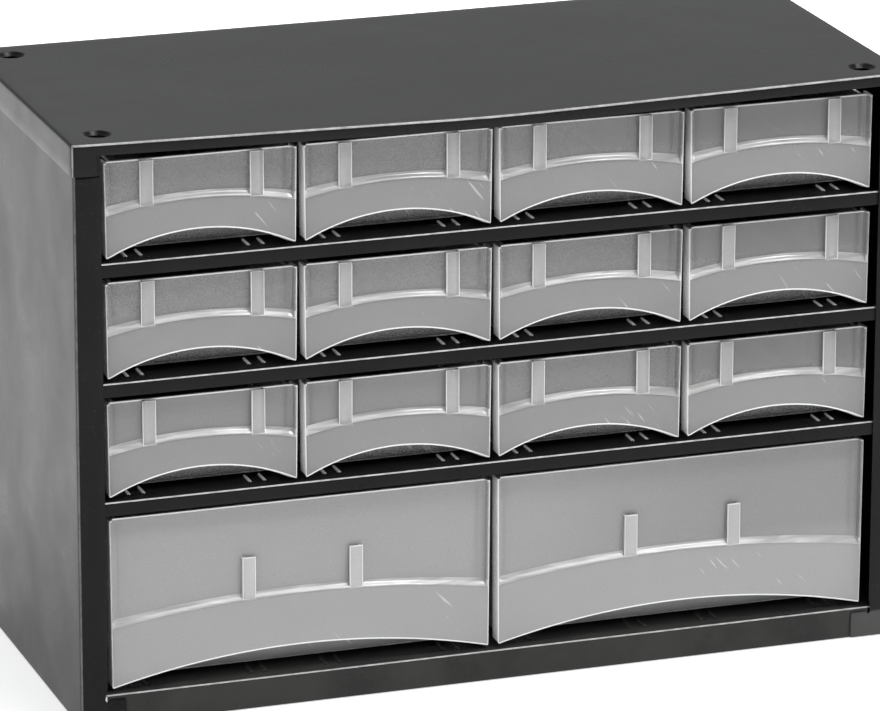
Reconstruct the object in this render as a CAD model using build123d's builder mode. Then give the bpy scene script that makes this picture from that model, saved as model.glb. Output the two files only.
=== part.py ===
from build123d import *
import os

# Parts bin cabinet: a folded sheet-steel case with twelve small and two large
# moulded drawers.  Millimetres, +Z up, the drawers open towards -Y.  The origin
# is the middle of the footprint at the height of the surface the case stands on.

# ---------------------------------------------------------------- dimensions
# case
case_w = 306.0            # over the lid's side flanges
case_d = 136.0            # over the lid's front and back flanges
case_h = 210.0
sheet = 0.7               # steel thickness
lid_drop = 11.2           # height of the lid's side and back flanges and corner laps
lid_front = 4.2           # height of the lid's front flange between the corner laps
lap_w = 8.7               # width of each corner lap over the stile
bend_r = 1.2              # outside bend radius
stile_w = 9.5             # front return of each side panel
foot_w = 16.3             # stile width at its foot, over the base flange
foot_h = 9.4
base_top = 11.0           # upper face of the base floor
row_pitch = 42.8
shelf_top = [167.0, 167.0 - row_pitch, 167.0 - 2 * row_pitch]
shelf_flange = 5.0
lap = 6.0                 # side flanges of the shelves

# stacking dimples in the lid
hole_in = 12.7            # from the lid's outer faces to each hole's centre
hole_r = 3.5
dimple_r = 4.95
dimple_depth = 1.2

# guide ridges pressed up out of the shelves and the base floor
col_pitch = 71.0
ridge_at = [-23.1, 20.6]  # middle of each pair, from the middle of the column
ridge_gap = 5.3
ridge_w = 1.2
ridge_h = 0.6
ridge_start = 6.0         # behind the front flange

# keyholes in the back panel
key_x = 100.0
key_z = 182.0
key_r = 4.5
key_slot_r = 2.2
key_rise = 8.0

# drawers, measured from the front face of the apron, the drawer's middle and the
# upper face of the shelf it runs on
drawer_set = 3.0          # apron behind the face of the stile
wall = 1.2
drawer_len = 128.0
label_depth = 2.0         # label panel behind the apron
cheek_depth = 6.0
cheek_w = 0.9             # width of each cheek beside the label panel
small_w = 68.6
small_clear = 0.9         # apron corners above the shelf
small_top = 34.7
small_tub = 64.0
small_arch = 7.9          # rise of the apron's lower edge
small_ledge_end = 17.9    # lower edge of the label panel at the sides
small_ledge_mid = 21.4    # and in the middle
large_w = 139.2
large_clear = 1.3
large_top = 62.9
large_tub = 134.0
large_arch = 8.6
large_ledge_end = 25.2
large_ledge_mid = 30.6
ledge_slope = 1.6
wall_foot = 10.0          # foot of the front wall behind the apron
rib_outer = 22.1          # outer face of each label rib
rib_w = 4.9
rib_shift = 0.5            # both ribs sit a little to the right of the middle
rib_top_large = 44.1
runner_w = 2.0
divider_y = [44.0, 86.0]

hw = case_w / 2
hd = case_d / 2
pw = hw - sheet           # outer face of the side panels
pf = hd - sheet           # front face of the stiles, and back face of the back returns
inner_y = pf - sheet      # front face of the shelf and base flanges
inner_x = pw - sheet      # inner face of the side panels

os.makedirs("parts", exist_ok=True)

MIN_Z = (Align.CENTER, Align.CENTER, Align.MIN)
MAX_Z = (Align.CENTER, Align.CENTER, Align.MAX)

# ---------------------------------------------------------------------- lid
# a shallow pan turned over the case: its flanges lap outside the side panels,
# and its front corners lap over the stiles
with BuildPart() as lid:
    with BuildSketch(Plane.XY.offset(case_h - lid_drop)):
        RectangleRounded(case_w, case_d, bend_r)
    extrude(amount=lid_drop)
    fillet(lid.edges().group_by(Axis.Z)[-1], bend_r)
    with BuildSketch(Plane.XY.offset(case_h - lid_drop)):
        Rectangle(case_w - 2 * sheet, case_d - 2 * sheet)
    extrude(amount=lid_drop - sheet, mode=Mode.SUBTRACT)
    # front flange cut back between the corner laps
    with BuildSketch(Plane.XZ.offset(hd - 2 * sheet)):
        with Locations((0, case_h - lid_drop - 1)):
            Rectangle(
                case_w - 2 * lap_w,
                lid_drop - lid_front + 1,
                align=(Align.CENTER, Align.MIN),
            )
    extrude(amount=3 * sheet, mode=Mode.SUBTRACT)
    # dimpled holes in the four corners, formed downwards
    hole_x = hw - hole_in
    hole_y = hd - hole_in
    with Locations((0, 0, case_h - sheet)):
        with GridLocations(2 * hole_x, 2 * hole_y, 2, 2):
            Cone(
                dimple_r - 0.7, dimple_r + 0.5, dimple_depth, align=MAX_Z
            )
    with Locations((0, 0, case_h)):
        with GridLocations(2 * hole_x, 2 * hole_y, 2, 2):
            Cone(hole_r, dimple_r, dimple_depth, align=MAX_Z, mode=Mode.SUBTRACT)
            Cylinder(hole_r, 6.0, align=MAX_Z, mode=Mode.SUBTRACT)
lid.part.label = "lid"
export_step(lid.part, "parts/lid.step")

# -------------------------------------------------------------- side panels
# one folded sheet: skin, front return (the stile) with a wider foot over the
# base flange, back return and bottom return
panel_h = case_h - sheet
with BuildPart() as side_panel_left:
    with BuildSketch(Plane.XY):
        with Locations((-pw, 0)):
            Rectangle(stile_w, 2 * pf, align=(Align.MIN, Align.CENTER))
    extrude(amount=panel_h)
    fillet(
        side_panel_left.edges().filter_by(Axis.Z).group_by(Axis.X)[0], 1.0
    )
    with BuildSketch(Plane.XY.offset(sheet)):
        with Locations((-inner_x, 0)):
            Rectangle(stile_w, 2 * inner_y, align=(Align.MIN, Align.CENTER))
    extrude(amount=panel_h, mode=Mode.SUBTRACT)
    # foot of the stile
    with BuildSketch(Plane.XZ.offset(inner_y)):
        with Locations((-pw + stile_w - 2.0, 0)):
            Rectangle(
                foot_w - stile_w + 2.0, foot_h, align=(Align.MIN, Align.MIN)
            )
    extrude(amount=sheet)
    # relief notch between the stile and its foot
    with BuildSketch(Plane.XZ.offset(inner_y - 1.0)):
        with Locations((-pw + stile_w, foot_h)):
            Circle(1.0)
    extrude(amount=3.0, mode=Mode.SUBTRACT)
side_panel_left.part.label = "side_panel_left"
export_step(side_panel_left.part, "parts/side_panel_left.step")

with BuildPart() as side_panel_right:
    mirror(side_panel_left.part, about=Plane.YZ)
side_panel_right.part.label = "side_panel_right"
export_step(side_panel_right.part, "parts/side_panel_right.step")


# ------------------------------------------------------------------ base pan
# the floor of the bottom row, with flanges turned down to the ground
flange_x = pw - stile_w - 0.2     # front and back flanges end inside the returns
with BuildPart() as base_pan:
    with BuildSketch(Plane.XY.offset(base_top - sheet)):
        Rectangle(2 * inner_x, 2 * inner_y)
    extrude(amount=sheet)
    with BuildSketch(Plane.XY):
        with Locations((0, -inner_y)):
            Rectangle(2 * flange_x, sheet, align=(Align.CENTER, Align.MIN))
        with Locations((0, inner_y)):
            Rectangle(2 * flange_x, sheet, align=(Align.CENTER, Align.MAX))
    extrude(amount=base_top)
    with BuildSketch(Plane.XY.offset(sheet + 0.3)):
        with Locations((-inner_x, 0)):
            Rectangle(sheet, 2 * inner_y - 6, align=(Align.MIN, Align.CENTER))
        with Locations((inner_x, 0)):
            Rectangle(sheet, 2 * inner_y - 6, align=(Align.MAX, Align.CENTER))
    extrude(amount=base_top - sheet - 0.3)
    fillet(
        base_pan.edges().filter_by(Axis.X).group_by(Axis.Y)[0].group_by(Axis.Z)[-1],
        0.6,
    )
    # guide ridges
    with BuildSketch(Plane.XY.offset(base_top)):
        with Locations((0, (ridge_start - 6.0) / 2)):
            for col in (-1.5, -0.5, 0.5, 1.5):
                for pair in ridge_at:
                    for edge in (-1, 1):
                        with Locations(
                            (
                                col * col_pitch + pair + edge * ridge_gap / 2,
                                0,
                            )
                        ):
                            Rectangle(ridge_w, 2 * inner_y - ridge_start - 6.0)
    extrude(amount=ridge_h)
base_pan.part.label = "base_pan"
export_step(base_pan.part, "parts/base_pan.step")

# ------------------------------------------------------------------- shelves
for shelf_name, top in zip(
    ("shelf_upper", "shelf_middle", "shelf_lower"), shelf_top
):
    with BuildPart() as shelf:
        with BuildSketch(Plane.XY.offset(top - sheet)):
            Rectangle(2 * inner_x, 2 * inner_y - 2 * sheet)
            with Locations((0, -inner_y)):
                Rectangle(
                    2 * inner_x, 2 * sheet, align=(Align.CENTER, Align.MIN)
                )
        extrude(amount=sheet)
        with BuildSketch(Plane.XY.offset(top - shelf_flange)):
            with Locations((0, -inner_y)):
                Rectangle(2 * inner_x, sheet, align=(Align.CENTER, Align.MIN))
            with Locations((0, inner_y - sheet)):
                Rectangle(
                    2 * inner_x - 12, sheet, align=(Align.CENTER, Align.MAX)
                )
        extrude(amount=shelf_flange)
        with BuildSketch(Plane.XY.offset(top - lap)):
            with Locations((-inner_x, 0)):
                Rectangle(
                    sheet, 2 * inner_y - 12, align=(Align.MIN, Align.CENTER)
                )
            with Locations((inner_x, 0)):
                Rectangle(
                    sheet, 2 * inner_y - 12, align=(Align.MAX, Align.CENTER)
                )
        extrude(amount=lap)
        fillet(
            shelf.edges()
            .filter_by(Axis.X)
            .group_by(Axis.Y)[0]
            .group_by(Axis.Z)[-1],
            0.6,
        )
        with BuildSketch(Plane.XY.offset(top)):
            for col in (-1.5, -0.5, 0.5, 1.5):
                for pair in ridge_at:
                    for edge in (-1, 1):
                        with Locations(
                            (
                                col * col_pitch + pair + edge * ridge_gap / 2,
                                0,
                            )
                        ):
                            Rectangle(ridge_w, 2 * inner_y - ridge_start - 6.0)
        extrude(amount=ridge_h)
    shelf.part.label = shelf_name
    export_step(shelf.part, "parts/" + shelf_name + ".step")

# ---------------------------------------------------------------- back panel
# flat sheet inside the back returns, standing on the base floor
with BuildPart() as back_panel:
    with BuildSketch(Plane.XZ.offset(-inner_y)):
        with Locations((0, base_top)):
            Rectangle(
                2 * inner_x,
                panel_h - base_top,
                align=(Align.CENTER, Align.MIN),
            )
        # keyholes, round below with a narrow slot above
        for side in (-1, 1):
            with Locations((side * key_x, key_z)):
                Circle(key_r, mode=Mode.SUBTRACT)
            with Locations((side * key_x, key_z + key_rise / 2)):
                Rectangle(2 * key_slot_r, key_rise, mode=Mode.SUBTRACT)
            with Locations((side * key_x, key_z + key_rise)):
                Circle(key_slot_r, mode=Mode.SUBTRACT)
    extrude(amount=sheet)
back_panel.part.label = "back_panel"
export_step(back_panel.part, "parts/back_panel.step")


# ------------------------------------------------------------------- drawers
# Each drawer is one moulding: a tub, a label panel set back between two cheeks,
# a sloping arched ledge, and an apron whose arched lower edge is the finger pull
# in front of a slanted front wall.
with BuildPart() as small_drawer:
    hf = small_w / 2
    ht = small_tub / 2
    # tub, seen from the side
    with BuildSketch(Plane.YZ.offset(-ht)):
        with BuildLine():
            Polyline(
                (label_depth, small_top),
                (drawer_len, small_top),
                (drawer_len, small_clear),
                (wall_foot, small_clear),
                (label_depth, small_ledge_end - 1.3),
                close=True,
            )
        make_face()
    extrude(amount=2 * ht)
    # front, seen from the front
    with BuildSketch(Plane.XZ):
        with BuildLine():
            ThreePointArc(
                (-hf + 0.5, small_clear),
                (0, small_clear + small_arch),
                (hf - 0.5, small_clear),
            )
            Polyline(
                (hf - 0.5, small_clear),
                (hf, small_top),
                (-hf, small_top),
                (-hf + 0.5, small_clear),
            )
        make_face()
    extrude(amount=-cheek_depth)
    # finger space behind the apron
    with BuildSketch(Plane.YZ.offset(-ht)):
        with BuildLine():
            Polyline(
                (wall, -1.0),
                (wall, small_ledge_end - 3.6),
                (label_depth, small_ledge_end - 2.8),
                (label_depth + 0.6, small_ledge_end - 2.8),
                (wall_foot - 0.3, small_clear),
                (wall_foot - 0.3, -1.0),
                close=True,
            )
        make_face()
    extrude(amount=2 * ht, mode=Mode.SUBTRACT)
    # inside of the tub
    with BuildSketch(Plane.YZ.offset(-ht + wall)):
        with BuildLine():
            Polyline(
                (label_depth + wall, small_top + 1),
                (drawer_len - wall, small_top + 1),
                (drawer_len - wall, small_clear + wall),
                (wall_foot + 0.7, small_clear + wall),
                (label_depth + wall, small_ledge_end - 1.3),
                close=True,
            )
        make_face()
    extrude(amount=2 * ht - 2 * wall, mode=Mode.SUBTRACT)
    # label panel set back above the arched ledge
    with BuildSketch(Plane.XZ.offset(1.0)):
        with BuildLine():
            ThreePointArc(
                (-hf + cheek_w, small_ledge_end),
                (0, small_ledge_mid),
                (hf - cheek_w, small_ledge_end),
            )
            Polyline(
                (hf - cheek_w, small_ledge_end),
                (hf - cheek_w, small_top + 1),
                (-hf + cheek_w, small_top + 1),
                (-hf + cheek_w, small_ledge_end),
            )
        make_face()
    extrude(amount=-1.0 - label_depth, mode=Mode.SUBTRACT)
    ledge_edges = (
        small_drawer.edges()
        .filter_by(GeomType.CIRCLE)
        .filter_by_position(Axis.Y, -0.01, 0.01)
        .sort_by(Axis.Z)[-1:]
    )
    chamfer(ledge_edges, ledge_slope)
    # label ribs: a post on the panel and a lip turned inwards in front of it
    with BuildSketch(Plane.XY.offset(small_ledge_end + 0.8)):
        for side in (-1, 1):
            with Locations((rib_shift + side * (rib_outer - rib_w / 2), 0.3)):
                Rectangle(rib_w, 0.9, align=(Align.CENTER, Align.MIN))
            with Locations((rib_shift + side * (rib_outer - 0.6), 0.3)):
                Rectangle(
                    1.2, label_depth, align=(Align.CENTER, Align.MIN)
                )
    extrude(amount=small_top - 0.3 - small_ledge_end - 0.8)
    # divider grooves: pairs of small ribs inside the side walls
    with BuildSketch(Plane.XY.offset(small_clear + wall)):
        for y in divider_y:
            for dy in (-1.3, 1.3):
                for side in (-1, 1):
                    with Locations((side * (ht - wall - 0.35), y + dy)):
                        Rectangle(0.7, 0.9)
    extrude(amount=26.0)
    # runners under the floor, between the guide ridges
    with BuildSketch(Plane.XY.offset(0.2)):
        for pair in ridge_at:
            with Locations((pair, 70.0)):
                Rectangle(runner_w, 112.0)
    extrude(amount=small_clear - 0.2)

with BuildPart() as large_drawer:
    hf = large_w / 2
    ht = large_tub / 2
    with BuildSketch(Plane.YZ.offset(-ht)):
        with BuildLine():
            Polyline(
                (label_depth, large_top),
                (drawer_len, large_top),
                (drawer_len, large_clear),
                (wall_foot, large_clear),
                (label_depth, large_ledge_end - 3.0),
                close=True,
            )
        make_face()
    extrude(amount=2 * ht)
    with BuildSketch(Plane.XZ):
        with BuildLine():
            ThreePointArc(
                (-hf + 0.5, large_clear),
                (0, large_clear + large_arch),
                (hf - 0.5, large_clear),
            )
            Polyline(
                (hf - 0.5, large_clear),
                (hf, large_top),
                (-hf, large_top),
                (-hf + 0.5, large_clear),
            )
        make_face()
    extrude(amount=-cheek_depth)
    with BuildSketch(Plane.YZ.offset(-ht)):
        with BuildLine():
            Polyline(
                (wall, -1.0),
                (wall, large_ledge_end - 5.2),
                (label_depth, large_ledge_end - 4.4),
                (label_depth + 0.6, large_ledge_end - 4.4),
                (wall_foot - 0.3, large_clear),
                (wall_foot - 0.3, -1.0),
                close=True,
            )
        make_face()
    extrude(amount=2 * ht, mode=Mode.SUBTRACT)
    with BuildSketch(Plane.YZ.offset(-ht + wall)):
        with BuildLine():
            Polyline(
                (label_depth + wall, large_top + 1),
                (drawer_len - wall, large_top + 1),
                (drawer_len - wall, large_clear + wall),
                (wall_foot + 0.7, large_clear + wall),
                (label_depth + wall, large_ledge_end - 3.0),
                close=True,
            )
        make_face()
    extrude(amount=2 * ht - 2 * wall, mode=Mode.SUBTRACT)
    with BuildSketch(Plane.XZ.offset(1.0)):
        with BuildLine():
            ThreePointArc(
                (-hf + cheek_w, large_ledge_end),
                (0, large_ledge_mid),
                (hf - cheek_w, large_ledge_end),
            )
            Polyline(
                (hf - cheek_w, large_ledge_end),
                (hf - cheek_w, large_top + 1),
                (-hf + cheek_w, large_top + 1),
                (-hf + cheek_w, large_ledge_end),
            )
        make_face()
    extrude(amount=-1.0 - label_depth, mode=Mode.SUBTRACT)
    ledge_edges = (
        large_drawer.edges()
        .filter_by(GeomType.CIRCLE)
        .filter_by_position(Axis.Y, -0.01, 0.01)
        .sort_by(Axis.Z)[-1:]
    )
    chamfer(ledge_edges, ledge_slope)
    with BuildSketch(Plane.XY.offset(large_ledge_end + 3.4)):
        for side in (-1, 1):
            with Locations((rib_shift + side * (rib_outer - rib_w / 2), 0.3)):
                Rectangle(rib_w, 0.9, align=(Align.CENTER, Align.MIN))
            with Locations((rib_shift + side * (rib_outer - 0.6), 0.3)):
                Rectangle(
                    1.2, label_depth, align=(Align.CENTER, Align.MIN)
                )
    extrude(amount=rib_top_large - large_ledge_end - 3.4)
    with BuildSketch(Plane.XY.offset(large_clear + wall)):
        for y in divider_y:
            for dy in (-1.3, 1.3):
                for side in (-1, 1):
                    with Locations((side * (ht - wall - 0.35), y + dy)):
                        Rectangle(0.7, 0.9)
    extrude(amount=50.0)
    with BuildSketch(Plane.XY.offset(0.2)):
        for col in (-0.5, 0.5):
            for pair in ridge_at:
                with Locations((col * col_pitch + pair, 70.0)):
                    Rectangle(runner_w, 112.0)
    extrude(amount=large_clear - 0.2)

front_y = -pf + drawer_set
floors = {"a": shelf_top[0], "b": shelf_top[1], "c": shelf_top[2]}
for row, floor_z in floors.items():
    for i, col in enumerate((-1.5, -0.5, 0.5, 1.5)):
        with BuildPart() as placed:
            with Locations((col * col_pitch, front_y, floor_z)):
                add(small_drawer.part)
        placed.part.label = "small_drawer_" + row + str(i + 1)
        export_step(placed.part, "parts/" + placed.part.label + ".step")

for side_name, x in (("left", -col_pitch), ("right", col_pitch)):
    with BuildPart() as placed:
        with Locations((x, front_y, base_top)):
            add(large_drawer.part)
    placed.part.label = "large_drawer_" + side_name
    export_step(placed.part, "parts/" + placed.part.label + ".step")
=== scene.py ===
import math

import bmesh
import bpy
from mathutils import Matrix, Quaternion, Vector


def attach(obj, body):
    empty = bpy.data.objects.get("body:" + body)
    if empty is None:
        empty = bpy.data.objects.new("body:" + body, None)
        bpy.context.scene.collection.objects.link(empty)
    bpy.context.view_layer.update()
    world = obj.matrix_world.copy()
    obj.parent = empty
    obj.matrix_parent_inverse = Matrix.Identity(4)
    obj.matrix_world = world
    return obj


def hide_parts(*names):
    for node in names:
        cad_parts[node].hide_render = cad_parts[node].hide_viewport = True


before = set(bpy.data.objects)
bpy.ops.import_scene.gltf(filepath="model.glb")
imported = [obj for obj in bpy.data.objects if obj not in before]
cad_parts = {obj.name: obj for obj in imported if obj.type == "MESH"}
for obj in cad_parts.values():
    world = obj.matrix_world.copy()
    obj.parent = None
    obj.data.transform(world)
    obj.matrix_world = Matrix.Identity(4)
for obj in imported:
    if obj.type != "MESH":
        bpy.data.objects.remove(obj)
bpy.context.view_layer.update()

scene = bpy.context.scene
scene.view_settings.view_transform = "Standard"
scene.view_settings.look = "None"

# ------------------------------------------------------------------ camera
camera_data = bpy.data.cameras.new("camera")
camera = bpy.data.objects.new("camera", camera_data)
scene.collection.objects.link(camera)
camera.rotation_mode = "QUATERNION"
camera.location = (-0.688884, -1.99747, 0.766656)
camera.rotation_quaternion = Quaternion(
    (0.79547183, 0.58299687, -0.09875987, -0.13261111)
)
camera_data.sensor_width = 36.0
camera_data.lens = 252.16976
camera_data.clip_start = 0.05
camera_data.clip_end = 100.0
scene.camera = camera

# ---------------------------------------------------------------- dimensions
# millimetres, as the pieces are made; each mesh is scaled to metres at the end
CASE_W, CASE_D, CASE_H = 306.0, 136.0, 210.0
SHEET = 0.7
LID_DROP, LID_FRONT, LAP_W = 11.2, 4.2, 8.7
STILE_W, FOOT_W, FOOT_H = 9.5, 16.3, 9.4
BASE_TOP = 11.0
SHELF_TOP = (167.0, 124.2, 81.4)
COL_PITCH = 71.0
RIDGE_AT, RIDGE_GAP = (-23.1, 20.6), 5.3
HOLE_IN = 12.7
HW, HD = CASE_W / 2, CASE_D / 2
PW, PF = HW - SHEET, HD - SHEET
INNER_Y, INNER_X = PF - SHEET, PW - SHEET
FRONT_Y = -PF + 3.0
MM = 0.001


# ------------------------------------------------------------- mesh helpers
def mesh_from(bm, name):
    """A mesh in metres from a bmesh made in millimetres."""
    bmesh.ops.scale(bm, vec=(MM, MM, MM), verts=bm.verts)
    bm.normal_update()
    me = bpy.data.meshes.new(name)
    bm.to_mesh(me)
    bm.free()
    return me


def place(name, me):
    ob = bpy.data.objects.new(name, me)
    scene.collection.objects.link(ob)
    return ob


def bake_modifiers(ob):
    """Replaces the object's mesh by what its modifiers make of it."""
    bpy.context.view_layer.update()
    dg = bpy.context.evaluated_depsgraph_get()
    me = bpy.data.meshes.new_from_object(ob.evaluated_get(dg), depsgraph=dg)
    old = ob.data
    ob.modifiers.clear()
    ob.data = me
    me.name = old.name
    bpy.data.meshes.remove(old)
    return ob


def shade(me, angle=35.0):
    me.polygons.foreach_set("use_smooth", [True] * len(me.polygons))
    me.set_sharp_from_angle(angle=math.radians(angle))


def grid_faces(bm, grid, wrap=False, flip=False, skip=None):
    """Quads between the vertex rows of grid[i][j]; skip(i, j) leaves one out."""
    made = []
    n = len(grid)
    for i in range(n if wrap else n - 1):
        a, b = grid[i], grid[(i + 1) % n]
        for j in range(len(a) - 1):
            if skip and skip(i, j):
                continue
            quad = [a[j], b[j], b[j + 1], a[j + 1]]
            if flip:
                quad.reverse()
            loop = []
            for v in quad:
                if v not in loop:
                    loop.append(v)
            if len(loop) > 2:
                made.append(bm.faces.new(loop))
    return made


def arc(cx, cy, r, a0, a1, n):
    """n + 1 points of an arc, angles in degrees."""
    return [
        (
            cx + r * math.cos(math.radians(a0 + (a1 - a0) * k / n)),
            cy + r * math.sin(math.radians(a0 + (a1 - a0) * k / n)),
        )
        for k in range(n + 1)
    ]


def fillet_path(points, radii, n=4):
    """A polyline with its inner corners rounded."""
    out = [points[0]]
    for k in range(1, len(points) - 1):
        p, a, b = Vector(points[k]), Vector(points[k - 1]), Vector(points[k + 1])
        r = radii[k - 1]
        if r <= 0:
            out.append(tuple(p))
            continue
        u, v = (a - p).normalized(), (b - p).normalized()
        half = u.angle(v) / 2
        t = r / math.tan(half)
        c = p + (u + v).normalized() * (r / math.sin(half))
        s, e = p + u * t - c, p + v * t - c
        turn = s.angle(e)
        for m in range(n + 1):
            w = m / n
            q = (
                s * math.sin((1 - w) * turn) + e * math.sin(w * turn)
            ) / math.sin(turn)
            out.append(tuple(c + q))
    out.append(points[-1])
    return out


def rounded_ring(x0, x1, y0, y1, r, n, nx=1, ny=1):
    """Points round a rectangle with rounded corners, counter-clockwise from above."""
    pts = []

    def side(a, b, k):
        for m in range(1, k):
            pts.append(
                (a[0] + (b[0] - a[0]) * m / k, a[1] + (b[1] - a[1]) * m / k)
            )

    corners = (
        (x1 - r, y0 + r, -90.0),
        (x1 - r, y1 - r, 0.0),
        (x0 + r, y1 - r, 90.0),
        (x0 + r, y0 + r, 180.0),
    )
    arcs = [arc(cx, cy, r, a, a + 90.0, n) for cx, cy, a in corners]
    for k in range(4):
        pts.extend(arcs[k])
        side(arcs[k][-1], arcs[(k + 1) % 4][0], ny if k % 2 == 0 else nx)
    return pts


def solid_box(bm, x0, x1, y0, y1, z0, z1, r=0.0, seg=2):
    """A box with rounded edges added to bm."""
    made = bmesh.ops.create_cube(bm, size=1.0)
    verts = made["verts"]
    for v in verts:
        v.co = Vector(
            (
                (x0 + x1) / 2 + v.co.x * (x1 - x0),
                (y0 + y1) / 2 + v.co.y * (y1 - y0),
                (z0 + z1) / 2 + v.co.z * (z1 - z0),
            )
        )
    if r > 0:
        edges = {e for v in verts for e in v.link_edges}
        bmesh.ops.bevel(
            bm,
            geom=list(edges),
            offset=r,
            segments=seg,
            profile=0.5,
            affect="EDGES",
            clamp_overlap=True,
        )


def union(name, meshes):
    """One closed mesh from several closed ones."""
    base = place(name, meshes[0])
    for k, me in enumerate(meshes[1:]):
        tool = place(name + "_tool", me)
        mod = base.modifiers.new("union", "BOOLEAN")
        mod.operation = "UNION"
        mod.solver = "EXACT"
        mod.object = tool
        bake_modifiers(base)
        tool_mesh = tool.data
        bpy.data.objects.remove(tool)
        bpy.data.meshes.remove(tool_mesh)
    me = base.data
    bpy.data.objects.remove(base)
    bm = bmesh.new()
    bm.from_mesh(me)
    bmesh.ops.remove_doubles(bm, verts=bm.verts, dist=2e-6)
    bmesh.ops.dissolve_degenerate(bm, edges=bm.edges, dist=1e-6)
    bm.to_mesh(me)
    bm.free()
    return me


# ------------------------------------------------------------------ drawers
SMALL = dict(
    w=68.6, top=34.7, tub=64.0, arch=7.9, clear=0.9, end=18.3, mid=21.4, flare=0.35,
    rib_z=(18.3, 34.6), rib_h=26.0, runners=RIDGE_AT, slant=15.6,
)
LARGE = dict(
    w=139.2, top=62.9, tub=134.0, arch=8.6, clear=1.3, end=25.4, mid=30.6, flare=0.2,
    rib_z=(28.4, 44.1), rib_h=50.0,
    runners=tuple(c + p for c in (-COL_PITCH / 2, COL_PITCH / 2) for p in RIDGE_AT),
    slant=22.5,
)
for P in (SMALL, LARGE):
    P.update(
        length=128.0, wall=1.2, recess=2.0, cheek_w=0.9, slope=1.6, foot=10.0,
        rib_outer=22.1, rib_w=4.9,
    )
RIB_SHIFT = 0.5
BODY, RIM, LEDGE = 0, 1, 2      # slots of the moulding: its walls; its rims, a lighter copy of the plastic, partly the denser look of plastic seen edge-on and partly a painted highlight; and its ledge, a lighter copy that is a painted highlight band


def arc_height(x, half, z_end, rise):
    """Height of a shallow arc over a chord, at x."""
    radius = (half * half + rise * rise) / (2 * rise)
    x = min(abs(x), half)
    return z_end + math.sqrt(radius * radius - x * x) - (radius - rise)


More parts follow.
